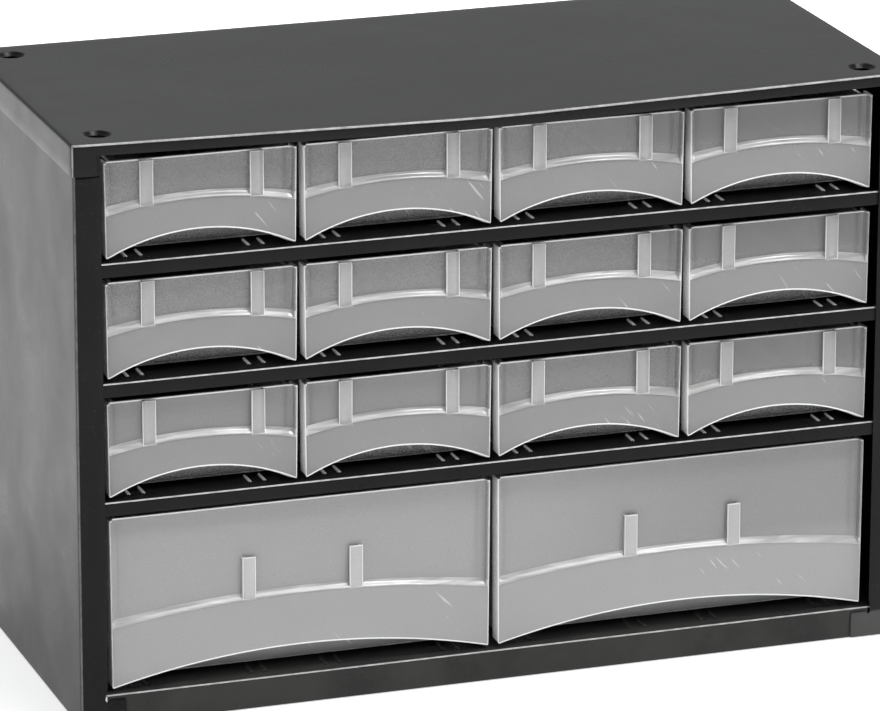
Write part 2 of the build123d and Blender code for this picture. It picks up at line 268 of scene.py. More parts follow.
def front_sheet(P):
    """The moulding's front: side returns, cheeks, label panel, ledge and apron."""
    W, top, wall = P["w"] / 2, P["top"], P["wall"]
    rc = 0.35
    inner = W - P["cheek_w"]
    # columns: (front x, front y, share of the recess, back x, back y beyond the
    # back of the front)
    half = []
    back_returns = (6.0, 5.3, 4.7)
    for k, y in enumerate((6.0, 4.2, 2.4)):
        half.append((-W, y, 0.0, -W + wall, ("abs", back_returns[k])))
    outer = arc(-W + rc, rc, rc, 180, 270, 5)
    inside = arc(-W + wall + 0.6, 0.6, 0.6, 180, 270, 5)
    for (x, y), (bx, by) in zip(outer, inside):
        half.append((x, y, 0.0, bx, ("rel", by)))
    steps = (
        (0.10, 0.0), (0.02, 0.03), (-0.04, 0.12), (-0.09, 0.28), (-0.13, 0.5),
        (-0.17, 0.72), (-0.22, 0.88), (-0.29, 0.97), (-0.42, 1.0),
    )
    for k, (dx, m) in enumerate(steps):
        half.append(
            (-inner - dx, 0.0, m, -W + wall + 0.7 + 0.12 * k, ("rel", 0.0))
        )
    n = 36 if P is SMALL else 64
    x_last, b_last = half[-1][0], half[-1][3]
    mid = [
        (
            x_last * (1 - 2 * k / n), 0.0, 1.0,
            b_last * (1 - 2 * k / n), ("rel", 0.0),
        )
        for k in range(1, n)
    ]
    columns = half + mid + [(-a, b, c, -d, e) for a, b, c, d, e in reversed(half)]

    # ledge: a slope between the apron and the label panel, rounded at both ends
    path = fillet_path(
        [(0.0, -6.0), (0.0, -P["slope"]), (P["recess"], 0.0), (P["recess"], 6.0)],
        [1.7, 2.3],
        6,
    )[1:-1]
    back_drop = wall * math.tan(math.radians(51.3 / 2))

    front, back = [], []
    for x, y, m, bx, by in columns:
        edge = min(abs(x), inner)
        ledge = arc_height(edge, inner, P["end"], P["mid"] - P["end"])
        low = arc_height(x, W - 0.5, P["clear"], P["arch"])
        r = 0.6
        over = abs(x) - (W - r)
        if over > 0:
            low = max(low, P["clear"] + r - math.sqrt(max(r * r - over * over, 0.0)))
        tall = 1.0 + P["flare"] * (edge / inner) ** 2
        rows = [(low, 0.0, 0.0)]
        rows.append((low + 0.5, 0.0, 0.0))
        start = ledge + path[0][1] * tall - 0.7
        for k in range(1, 9):
            rows.append((low + 0.5 + (start - low - 0.5) * k / 8, 0.0, 0.0))
        for py, pz in path:
            rows.append((ledge + pz * tall, py / P["recess"], -back_drop))
        first = ledge + path[-1][1] * tall + 0.4
        last = top - 0.5
        for k in range(0, 8):
            rows.append((first + (last - first) * k / 7, 1.0, 0.0))
        rows.append((top, 1.0, 0.0))
        fcol, bcol = [], []
        for z, rec, drop in rows:
            taper = 1.0 - (0.4 / W) * (1.0 - z / top)
            fcol.append((x * taper, y + P["recess"] * rec * m, z))
            yb = wall + P["recess"] * rec
            kind, v = by
            bcol.append((bx * taper, v if kind == "abs" else yb + v, z + drop))
        front.append(fcol)
        back.append(bcol)

    bm = bmesh.new()
    F = [[bm.verts.new(p) for p in c] for c in front]
    B = [[bm.verts.new(p) for p in c] for c in back]
    skin = grid_faces(bm, F)
    grid_faces(bm, B, flip=True)
    rim = []
    n, m = len(F), len(F[0])
    # bottom and top rows and the side returns take the rim slot, a painted highlight along the edges;
    # the ledge rows take the ledge slot, a painted highlight band
    for k, f in enumerate(skin):
        i, j = divmod(k, m - 1)
        x = (columns[i][0] + columns[i + 1][0]) / 2
        if j in (0, m - 2) or abs(x) > W - 0.5:
            f.material_index = RIM
        elif 12 < j < 7 + len(path):
            f.material_index = LEDGE
    for i in range(n - 1):
        for j in (0, m - 1):
            rim.append(
                bm.faces.new([F[i][j], F[i + 1][j], B[i + 1][j], B[i][j]])
            )
    for j in range(m - 1):
        for i in (0, n - 1):
            rim.append(bm.faces.new([F[i][j], F[i][j + 1], B[i][j + 1], B[i][j]]))
    bmesh.ops.recalc_face_normals(bm, faces=bm.faces)
    rims = set(rim)
    for f in rim:
        f.material_index = RIM
    edges = [
        e
        for e in bm.edges
        if len(e.link_faces) == 2
        and sum(f in rims for f in e.link_faces) == 1
    ]
    # bevels between rim faces and walls take the rim slot: a painted highlight along the edges
    bmesh.ops.bevel(
        bm, geom=edges, offset=0.3, segments=3, profile=0.5,
        affect="EDGES", clamp_overlap=True, material=RIM,
    )
    bmesh.ops.recalc_face_normals(bm, faces=bm.faces)
    return mesh_from(bm, "front_sheet")


def tub(P):
    """Open box with a slanted front wall and rounded corners."""
    h, top, wall, low = P["tub"] / 2, P["top"] - 0.12, P["wall"], P["clear"]
    length = P["length"]
    y_top = P["recess"] + 0.12
    n = 6
    r_out, r_in = 2.6, 1.5

    def front_at(z, inset):
        t = max(0.0, min(1.0, (P["slant"] - z) / (P["slant"] - low)))
        soft = t * t / (t + 0.12) * 1.12
        return y_top + (P["foot"] - y_top) * soft + inset

    def ring(z, inset, r):
        draft = 0.35 * (1 - z / top)
        return [
            (x, y, z)
            for x, y in rounded_ring(
                -h + inset + draft, h - inset - draft,
                front_at(z, inset), length - inset - draft, max(r, 0.05), n,
                nx=12, ny=8,
            )
        ]

    rb = 1.6
    zs = [
        (low + rb * (1 - math.cos(math.radians(22.5 * k))),
         rb * (1 - math.sin(math.radians(22.5 * k))))
        for k in range(5)
    ]
    span = P["slant"] + 0.8 - (low + rb)
    for k in range(1, 7):
        zs.append((low + rb + span * k / 6, 0.0))
    for k in range(1, 5):
        zs.append((P["slant"] + 0.8 + (top - 1.2 - P["slant"] - 0.8) * k / 4, 0.0))
    zs.append((top - 0.35, 0.0))
    outer = [ring(z, i, r_out - i * 0.7) for z, i in zs]
    rim = []
    for k in range(1, 6):
        a = math.radians(180 * k / 6)
        half_t = wall / 2
        rim.append(
            ring(
                top - 0.35 + 0.35 * math.sin(a),
                half_t - half_t * math.cos(a),
                r_out - (half_t - half_t * math.cos(a)),
            )
        )
    inner_low = low + wall
    rb2 = 1.4
    inner = [ring(top - 0.35, wall, r_in)]
    inner.append(ring(top - 1.2, wall, r_in))
    for k in range(1, 5):
        z = top - 1.2 - (top - 1.2 - P["slant"] - 0.8) * k / 4
        inner.append(ring(z, wall, r_in))
    z_hi = P["slant"] + 0.8
    for k in range(1, 7):
        inner.append(ring(z_hi + (inner_low + rb2 - z_hi) * k / 6, wall, r_in))
    for k in range(1, 5):
        a = math.radians(22.5 * k)
        inner.append(
            ring(
                inner_low + rb2 * (1 - math.sin(a)),
                wall + rb2 * (1 - math.cos(a)),
                r_in - 0.2 * k,
            )
        )
    bm = bmesh.new()
    loops = [[bm.verts.new(p) for p in ring_] for ring_ in outer + rim + inner]
    count = len(loops[0])
    # the bottom bend and the top rim take the rim slot: a painted highlight along these edges
    highlit_levels = {1, 2} | set(range(len(outer) - 1, len(outer) + len(rim)))
    for level, (a, b) in enumerate(zip(loops, loops[1:])):
        for k in range(count):
            f = bm.faces.new([a[k], a[(k + 1) % count], b[(k + 1) % count], b[k]])
            if level in highlit_levels:
                f.material_index = RIM
    bm.faces.new(list(reversed(loops[0])))
    bm.faces.new(loops[-1])
    bmesh.ops.recalc_face_normals(bm, faces=bm.faces)
    return mesh_from(bm, "tub")


def drawer_extras(P):
    """Label ribs, divider ribs and runners, each closed and clear of the others."""
    made = []
    z0, z1 = P["rib_z"]
    ro, rw = P["rib_outer"], P["rib_w"]
    for side in (-1, 1):
        # L-shaped rib: a post on the panel with a lip turned inwards
        bm = bmesh.new()
        pts = [
            (ro, P["recess"] + 0.3), (ro, 0.25), (ro - rw, 0.25),
            (ro - rw, 1.1), (ro - 1.15, 1.1), (ro - 1.15, P["recess"] + 0.3),
        ]
        pts = [(RIB_SHIFT + side * x, y) for x, y in pts]
        lo = [bm.verts.new((x, y, z0)) for x, y in pts]
        hi = [bm.verts.new((x * 0.998, y + 0.02, z1 - 0.15)) for x, y in pts]
        for k in range(6):
            bm.faces.new([lo[k], lo[(k + 1) % 6], hi[(k + 1) % 6], hi[k]])
        bm.faces.new(list(reversed(lo)))
        bm.faces.new(hi)
        bmesh.ops.recalc_face_normals(bm, faces=bm.faces)
        edges = list(bm.edges)
        # the rib's bevels take the rim slot: a painted highlight along its edges
        bmesh.ops.bevel(
            bm, geom=edges, offset=0.28, segments=3, profile=0.5,
            affect="EDGES", clamp_overlap=True, material=RIM,
        )
        bmesh.ops.recalc_face_normals(bm, faces=bm.faces)
        made.append(mesh_from(bm, "label_rib"))
    bm = bmesh.new()
    ht = P["tub"] / 2
    for y in (44.0, 86.0):
        for dy in (-1.3, 1.3):
            for side in (-1, 1):
                a, b = sorted((side * (ht - 1.75), side * (ht - 0.55)))
                solid_box(
                    bm, a, b, y + dy - 0.45, y + dy + 0.45,
                    P["clear"] + 0.6, P["clear"] + 1.2 + P["rib_h"], 0.2, 2,
                )
    for x in P["runners"]:
        solid_box(bm, x - 1.0, x + 1.0, 14.0, 126.0, 0.2, P["clear"] + 0.5, 0.3, 2)
    made.append(mesh_from(bm, "drawer_ribs"))
    return made


def drawer(name, P, materials):
    parts = [front_sheet(P), tub(P), *drawer_extras(P)]
    for part in parts:
        for mat in materials:
            part.materials.append(mat)
    me = union(name, parts)
    shade(me, 38)
    me.name = name
    return me


# ---------------------------------------------------------------- materials
def node_material(name):
    mat = bpy.data.materials.new(name)
    mat.use_nodes = True
    nt = mat.node_tree
    nt.nodes.clear()
    out = nt.nodes.new("ShaderNodeOutputMaterial")
    return mat, nt, out


class Nodes:
    """Short ways to make and join shader nodes."""

    def __init__(self, nt):
        self.nt = nt

    def new(self, kind, **values):
        n = self.nt.nodes.new(kind)
        for k, v in values.items():
            setattr(n, k, v)
        return n

    def link(self, a, b):
        self.nt.links.new(a, b)

    def math(self, op, a, b=None, c=None, clamp=False):
        n = self.new("ShaderNodeMath", operation=op, use_clamp=clamp)
        for k, v in enumerate((a, b, c)):
            if v is None:
                continue
            if hasattr(v, "is_linked"):
                self.link(v, n.inputs[k])
            else:
                n.inputs[k].default_value = v
        return n.outputs[0]

    def noise(self, vector, scale, detail=3.0, rough=0.5, distortion=0.0):
        n = self.new("ShaderNodeTexNoise")
        n.inputs["Scale"].default_value = scale
        n.inputs["Detail"].default_value = detail
        n.inputs["Roughness"].default_value = rough
        n.inputs["Distortion"].default_value = distortion
        self.link(vector, n.inputs["Vector"])
        return n.outputs["Fac"]

    def ramp(self, value, lo, hi, a=0.0, b=1.0, smooth=True):
        n = self.new("ShaderNodeMapRange", interpolation_type="SMOOTHSTEP" if smooth else "LINEAR")
        self.link(value, n.inputs["Value"])
        n.inputs["From Min"].default_value = lo
        n.inputs["From Max"].default_value = hi
        n.inputs["To Min"].default_value = a
        n.inputs["To Max"].default_value = b
        return n.outputs["Result"]

    def mix(self, fac, a, b):
        n = self.new("ShaderNodeMix", data_type="RGBA")
        for socket, v in ((n.inputs[0], fac), (n.inputs[6], a), (n.inputs[7], b)):
            if hasattr(v, "is_linked"):
                self.link(v, socket)
            else:
                socket.default_value = v
        return n.outputs[2]

    def stretch(self, vector, sx, sy, sz, rot=(0, 0, 0)):
        n = self.new("ShaderNodeMapping")
        n.inputs["Scale"].default_value = (sx, sy, sz)
        n.inputs["Rotation"].default_value = rot
        self.link(vector, n.inputs["Vector"])
        return n.outputs["Vector"]

    def bump(self, height, strength, distance, normal=None):
        n = self.new("ShaderNodeBump")
        n.inputs["Strength"].default_value = strength
        n.inputs["Distance"].default_value = distance
        self.link(height, n.inputs["Height"])
        if normal is not None:
            self.link(normal, n.inputs["Normal"])
        return n.outputs["Normal"]


def paint(name, base=0.0065, wear_and_highlight_amount=0.0, wave=1.0, wear_and_highlight_colour=0.75, line=0.0, low=0.0, ior=1.22):
    """Semi-gloss black enamel on steel: orange peel, soft waves of the sheet, and
    dust that dulls it in places; pale lines on bends and ridge ends that are partly
    worn paint and partly a painted highlight; and, with low, a lighter foot that is a
    painted highlight."""
    mat, nt, out = node_material(name)
    N = Nodes(nt)
    p = N.new("ShaderNodeBsdfPrincipled")
    co = N.new("ShaderNodeTexCoord").outputs["Object"]
    peel = N.noise(co, 1500.0, 2.0, 0.5)
    broad = N.noise(co, 14.0, 2.0, 0.4)
    cloud = N.noise(co, 38.0, 5.0, 0.6, 0.4)
    speck = N.noise(co, 900.0, 1.0, 0.5)
    wear_and_highlight_noise = N.noise(co, 260.0, 3.0, 0.65)
    ridge = N.new("ShaderNodeAttribute", attribute_name="wear")
    # ridge ends: lighter paint, partly worn paint and partly a painted highlight
    wear = N.math(
        "MULTIPLY", N.ramp(ridge.outputs["Fac"], 0.2, 0.7), N.ramp(wear_and_highlight_noise, 0.15, 0.4), clamp=True
    )
    wear = N.math("MULTIPLY", wear, wear_and_highlight_amount, clamp=True)
    # bend lines: pale paint along the bends, partly worn paint and partly a painted highlight
    edge = N.new("ShaderNodeAttribute", attribute_name="edge")
    bend_line_wear_and_highlight = N.math(
        "MULTIPLY", N.ramp(edge.outputs["Fac"], 0.3, 1.0),
        N.ramp(wear_and_highlight_noise, 0.25, 0.7, line * 0.55, line),
    )
    dark = (base * 0.85, base * 0.85, base * 0.82, 1.0)
    pale = (base * 1.35, base * 1.35, base * 1.28, 1.0)
    colour = N.mix(N.ramp(cloud, 0.3, 0.7), dark, pale)
    dust = N.ramp(speck, 0.70, 0.80)
    colour = N.mix(N.math("MULTIPLY", dust, 0.35), colour, (0.06, 0.06, 0.058, 1))
    # painted highlight: the stile's foot, which stands forward and catches the light, is painted lighter
    if low:
        height = N.new("ShaderNodeSeparateXYZ")
        N.link(co, height.inputs[0])
        foot = N.ramp(height.outputs[2], (FOOT_H + 0.6) * MM, (FOOT_H - 0.6) * MM)
        foot = N.math(
            "MULTIPLY", foot, N.ramp(height.outputs[1], (2.0 - PF) * MM, (0.5 - PF) * MM)
        )
        colour = N.mix(foot, colour, (low, low, low * 0.98, 1))
    colour = N.mix(bend_line_wear_and_highlight, colour, (0.8, 0.8, 0.79, 1))
    colour = N.mix(wear, colour, (wear_and_highlight_colour, wear_and_highlight_colour, wear_and_highlight_colour, 1))
    N.link(colour, p.inputs["Base Color"])
    rough = N.ramp(cloud, 0.25, 0.75, 0.26, 0.34)
    N.link(rough, p.inputs["Roughness"])
    normal = N.bump(broad, 0.55 * wave, 0.0016)
    normal = N.bump(peel, 0.10, 0.00012, normal)
    N.link(normal, p.inputs["Normal"])
    p.inputs["IOR"].default_value = ior
    N.link(p.outputs[0], out.inputs["Surface"])
    return mat


def plastic(name, P, alpha, tone):
    """Frosted polypropylene: milky, slightly see-through, satin, with fine grain, small
    specks, a few light rub marks running down to the right, and painted shade on the label panels."""
    mat, nt, out = node_material(name)
    N = Nodes(nt)
    p = N.new("ShaderNodeBsdfPrincipled")
    co = N.new("ShaderNodeTexCoord").outputs["Object"]
    info = N.new("ShaderNodeObjectInfo")
    spread = N.new("ShaderNodeVectorMath", operation="MULTIPLY_ADD")
    N.link(info.outputs["Location"], spread.inputs[0])
    spread.inputs[1].default_value = (3.7, 0.0, 3.7)
    N.link(co, spread.inputs[2])
    own = spread.outputs[0]
    grain = N.noise(co, 2600.0, 2.0, 0.5)
    speck = N.noise(own, 700.0, 1.0, 0.5)
    sep = N.new("ShaderNodeSeparateXYZ")
    N.link(co, sep.inputs[0])
    x, y, z = sep.outputs[0], sep.outputs[1], sep.outputs[2]
    # rub marks: thin, long, sparse, on the right half of the apron
    turned = N.stretch(own, 1.0, 1.0, 1.0, (0, math.radians(-52), 0))
    rub = N.noise(N.stretch(turned, 60.0, 60.0, 620.0), 1.0, 2.0, 0.55, 0.0)
    patch = N.noise(own, 60.0, 1.0, 0.4)
    rub = N.math("MULTIPLY", N.ramp(rub, 0.62, 0.72), N.ramp(patch, 0.46, 0.56))
    half = P["w"] / 2
    rub = N.math("MULTIPLY", rub, N.ramp(x, -0.1 * half * MM, 0.25 * half * MM))
    rub = N.math(
        "MULTIPLY", rub, N.ramp(z, P["end"] * MM, (P["end"] - 3.0) * MM)
    )
    body = N.mix(
        N.ramp(speck, 0.72, 0.80, 0.0, 0.35),
        (tone, tone, tone * 0.994, 1),
        (tone * 0.7, tone * 0.7, tone * 0.69, 1),
    )
    # painted shade: label panels are painted darker towards the right and the top of the case, standing
    # in for shade that falls there
    where = N.new("ShaderNodeSeparateXYZ")
    N.link(info.outputs["Location"], where.inputs[0])
    right = N.math("ADD", where.outputs[0], x)
    painted_shade_by_place = N.math(
        "ADD",
        N.ramp(right, -0.02, 0.11, 0.0, 0.24),
        N.ramp(where.outputs[2], 0.09, 0.17, 0.0, 0.10),
    )
    panel = N.ramp(z, (P["end"] - 1.0) * MM, (P["mid"] + 4.0) * MM)
    # the label ribs are thicker, so they look milkier
    off = N.math("ABSOLUTE", N.math("SUBTRACT", x, RIB_SHIFT * MM))
    reach = N.math(
        "MULTIPLY",
        N.ramp(off, (P["rib_outer"] - P["rib_w"] - 0.35) * MM, (P["rib_outer"] - P["rib_w"] - 0.1) * MM),
        N.ramp(off, (P["rib_outer"] + 0.35) * MM, (P["rib_outer"] + 0.1) * MM),
    )
    reach = N.math("MULTIPLY", reach, N.ramp(y, 1.95 * MM, 1.75 * MM))
    reach = N.math("MULTIPLY", reach, N.ramp(z, (P["rib_z"][0] - 0.3) * MM, P["rib_z"][0] * MM))
    painted_shade = N.math("MULTIPLY", painted_shade_by_place, panel)
    # the painted shade: mix the label panels towards near black
    body = N.mix(painted_shade, body, (0.02, 0.02, 0.02, 1))
    body = N.mix(N.math("MULTIPLY", reach, 0.36), body, (0.9, 0.9, 0.895, 1))
    colour = N.mix(N.math("MULTIPLY", rub, 0.55), body, (0.95, 0.95, 0.945, 1))
    N.link(colour, p.inputs["Base Color"])
    N.link(N.ramp(grain, 0.2, 0.8, 0.25, 0.29), p.inputs["Roughness"])
    normal = N.bump(grain, 0.05, 0.00005)
    N.link(normal, p.inputs["Normal"])
    p.inputs["IOR"].default_value = 1.49
    p.inputs["Alpha"].default_value = alpha
    N.link(p.outputs[0], out.inputs["Surface"])
    return mat


def ledge_plastic_painted_highlight(name, alpha):
    """The moulded ledge: glossier than the flat panels, and painted lighter as a
    highlight band along it, with fine streaks along its length."""
    mat, nt, out = node_material(name)
    N = Nodes(nt)
    p = N.new("ShaderNodeBsdfPrincipled")
    co = N.new("ShaderNodeTexCoord").outputs["Object"]
    info = N.new("ShaderNodeObjectInfo")
    spread = N.new("ShaderNodeVectorMath", operation="MULTIPLY_ADD")
    N.link(info.outputs["Location"], spread.inputs[0])
    spread.inputs[1].default_value = (3.7, 0.0, 3.7)
    N.link(co, spread.inputs[2])
    own = spread.outputs[0]
    streak = N.noise(N.stretch(own, 55.0, 200.0, 620.0), 1.0, 3.0, 0.5, 0.6)
    cloud = N.noise(own, 45.0, 2.0, 0.5, 0.4)
    grain = N.noise(co, 2600.0, 2.0, 0.5)
    colour = N.mix(
        N.ramp(streak, 0.3, 0.72),
        (0.43, 0.43, 0.425, 1),
        (0.70, 0.70, 0.695, 1),
    )
    colour = N.mix(N.ramp(cloud, 0.4, 0.65, 0.0, 0.5), colour, (0.40, 0.40, 0.395, 1))
    N.link(colour, p.inputs["Base Color"])
    N.link(N.ramp(streak, 0.3, 0.7, 0.14, 0.22), p.inputs["Roughness"])
    normal = N.bump(streak, 0.15, 0.0001)
    normal = N.bump(grain, 0.05, 0.00005, normal)
    N.link(normal, p.inputs["Normal"])
    p.inputs["IOR"].default_value = 1.49
    p.inputs["Alpha"].default_value = alpha
    N.link(p.outputs[0], out.inputs["Surface"])
    return mat


# -------------------------------------------------------------- sheet metal
def sheet_object(name, bm, mat, thickness=SHEET, rim=0.16, angle=32, edge=None):
    """A skin in millimetres made into folded sheet: thickness inwards, and cut
    edges with a small radius."""
    if edge is not None:
        # masks for the pale bend lines and ridge ends: partly wear, partly a painted highlight
        lines = bm.verts.layers.float.new("edge")
        rubbed_and_highlit = bm.verts.layers.float.new("wear")
        for v in bm.verts:
            v[lines], v[rubbed_and_highlit] = edge(v.co)
    me = mesh_from(bm, name)
    ob = place(name, me)
    s = ob.modifiers.new("sheet", "SOLIDIFY")
    s.thickness = thickness * MM
    s.offset = -1.0
    s.use_even_offset = True
    s.use_quality_normals = True
    b = ob.modifiers.new("rim", "BEVEL")
    b.width = rim * MM
    b.segments = 2
    b.limit_method = "ANGLE"
    b.angle_limit = math.radians(62)
    b.harden_normals = False
    bake_modifiers(ob)
    shade(ob.data, angle)
    ob.data.materials.clear()
    ob.data.materials.append(mat)
    return ob


KINK_X = -1.0      # where the lid sags most, from the middle
LID_SAG = 2.8


def lid_sag(x, y):
    t = min(1.0, max(0.0, (PW + x) / (PW + KINK_X) if x < KINK_X else (PW - x) / (PW - KINK_X)))
    t = t - 0.06 * math.exp(-((x - KINK_X) / 9.0) ** 2)
    front = (HD - y) / (2 * HD)
    w = 0.10 + 0.90 * max(0.0, front) ** 1.6
    return -LID_SAG * t * w


def make_lid(mat):
    """Folded top: rounded bends, side and back flanges, a shallow front flange
    between two corner laps, and four dimpled holes."""
    r, n = 1.25, 6
    bm = bmesh.new()
    ex, ey = HW - r, HD - r
    hx, hy, hb, hn = HW - HOLE_IN, HD - HOLE_IN, 8.0, 8
    xs = set()
    for s in (-1, 1):
        for k in range(hn + 1):
            xs.add(round(s * (hx - hb + 2 * hb * k / hn), 4))
        xs.add(s * ex)
        xs.add(round(s * (HW - LAP_W), 4))
    span = hx - hb
    for k in range(1, 34):
        xs.add(round(-span + 2 * span * k / 34, 4))
    xs.discard(0.0)
    xs.add(KINK_X)
    xs = sorted(xs)
    ys = set()
    for s in (-1, 1):
        for k in range(hn + 1):
            ys.add(round(s * (hy - hb + 2 * hb * k / hn), 4))
        ys.add(s * ey)
    for k in range(1, 14):
        ys.add(round(-(hy - hb) + 2 * (hy - hb) * k / 14, 4))
    ys = sorted(ys)
    top = {}
    for i, x in enumerate(xs):
        for j, y in enumerate(ys):
            top[i, j] = bm.verts.new((x, y, CASE_H))
    inside = {}
    for sx in (-1, 1):
        for sy in (-1, 1):
            ilo = xs.index(round(sx * hx - hb, 4))
            jlo = ys.index(round(sy * hy - hb, 4))
            ihi, jhi = ilo, jlo
            while xs[ihi] < sx * hx + hb - 1e-3:
                ihi += 1
            while ys[jhi] < sy * hy + hb - 1e-3:
                jhi += 1
            inside[sx, sy] = (ilo, ihi, jlo, jhi)

    def in_hole(i, j):
        return any(
            a <= i < b and c <= j < d for a, b, c, d in inside.values()
        )

    for i in range(len(xs) - 1):
        for j in range(len(ys) - 1):
            if not in_hole(i, j):
                bm.faces.new(
                    [top[i, j], top[i + 1, j], top[i + 1, j + 1], top[i, j + 1]]
                )
    # dimples, drawn down round each hole
    profile = [
        (6.4, 0.0), (5.6, 0.0), (5.15, -0.03), (4.9, -0.12), (4.7, -0.3),
        (4.35, -0.72), (4.0, -1.12), (3.8, -1.32), (3.6, -1.44), (3.5, -1.5),
    ]
    for (sx, sy), (a, b, c, d) in inside.items():
        cx, cy = sx * hx, sy * hy
        loop = (
            [top[i, c] for i in range(a, b)]
            + [top[b, j] for j in range(c, d)]
            + [top[i, d] for i in range(b, a, -1)]
            + [top[a, j] for j in range(d, c, -1)]
        )
        gone = [
            top[i, j] for i in range(a + 1, b) for j in range(c + 1, d)
        ]
        for v in gone:
            bm.verts.remove(v)
        m = len(loop)
        angles = [math.atan2(v.co.y - cy, v.co.x - cx) for v in loop]
        previous = loop
        for rr, dz in profile:
            ring = [
                bm.verts.new((cx + rr * math.cos(t), cy + rr * math.sin(t), CASE_H + dz))
                for t in angles
            ]
            for k in range(m):
                bm.faces.new(
                    [previous[k], previous[(k + 1) % m], ring[(k + 1) % m], ring[k]]
                )
            previous = ring
    # bends and flanges round the outline
    nx, ny = len(xs), len(ys)
    ring_dirs = []
    for i in range(nx):
        ring_dirs.append((top[i, 0], 0.0, -1.0))
    for k in range(1, 5):
        t = math.radians(-90 + 90 * k / 5)
        ring_dirs.append((top[nx - 1, 0], math.cos(t), math.sin(t)))
    for j in range(ny):
        ring_dirs.append((top[nx - 1, j], 1.0, 0.0))
    for k in range(1, 5):
        t = math.radians(90 * k / 5)
        ring_dirs.append((top[nx - 1, ny - 1], math.cos(t), math.sin(t)))
    for i in range(nx - 1, -1, -1):
        ring_dirs.append((top[i, ny - 1], 0.0, 1.0))
    for k in range(1, 5):
        t = math.radians(90 + 90 * k / 5)
        ring_dirs.append((top[0, ny - 1], math.cos(t), math.sin(t)))
    for j in range(ny - 1, -1, -1):
        ring_dirs.append((top[0, j], -1.0, 0.0))
    for k in range(1, 5):
        t = math.radians(180 + 90 * k / 5)
        ring_dirs.append((top[0, 0], math.cos(t), math.sin(t)))
    loops = [[v for v, _, _ in ring_dirs]]
    for k in range(1, n + 1):
        a = math.radians(90 * k / n)
        loops.append(
            [
                bm.verts.new(
                    (
                        v.co.x + dx * r * math.sin(a),
                        v.co.y + dy * r * math.sin(a),
                        CASE_H - r * (1 - math.cos(a)),
                    )
                )
                for v, dx, dy in ring_dirs
            ]
        )
    base_loop = loops[-1]
    for z in (CASE_H - 2.6, CASE_H - LID_FRONT, CASE_H - 7.2, CASE_H - LID_DROP):
        loops.append([bm.verts.new((v.co.x, v.co.y, z)) for v in base_loop])
    m = len(base_loop)
    cut = HW - LAP_W
    for level, (a, b) in enumerate(zip(loops, loops[1:])):
        for k in range(m):
            q = (k + 1) % m
            if level >= n + 2:
                pa, pb = a[k].co, a[q].co
                if (
                    pa.y < -HD + 0.01
                    and pb.y < -HD + 0.01
                    and abs(pa.x + pb.x) / 2 < cut
                ):
                    continue
            loop = []
            for v in (a[k], b[k], b[q], a[q]):
                if v not in loop:
                    loop.append(v)
            if len(loop) > 2:
                bm.faces.new(loop)
    loose = [v for v in bm.verts if not v.link_faces]
    for v in loose:
        bm.verts.remove(v)
    bmesh.ops.remove_doubles(bm, verts=bm.verts, dist=0.0005)
    bmesh.ops.recalc_face_normals(bm, faces=bm.faces)
    up = max(bm.faces, key=lambda f: f.calc_area())
    if up.normal.z < 0:
        bmesh.ops.reverse_faces(bm, faces=bm.faces)
    for v in bm.verts:
        v.co.z += lid_sag(v.co.x, v.co.y)

    # the front bend and the corners get the pale line: partly worn paint, partly a painted highlight
    def edge(co):
        z = co.z - lid_sag(co.x, co.y)
        mid_bend = CASE_H - 0.55 * r < z < CASE_H - 0.12 * r
        front = co.y < -HD + r
        corner = (
            HW - 0.6 * r < abs(co.x) < HW - 0.1 * r
            and HD - 0.6 * r < abs(co.y) < HD - 0.1 * r
        )
        return (1.0 if (mid_bend and front) or corner else 0.0), 0.0

    return sheet_object("lid_sheet", bm, mat, edge=edge)


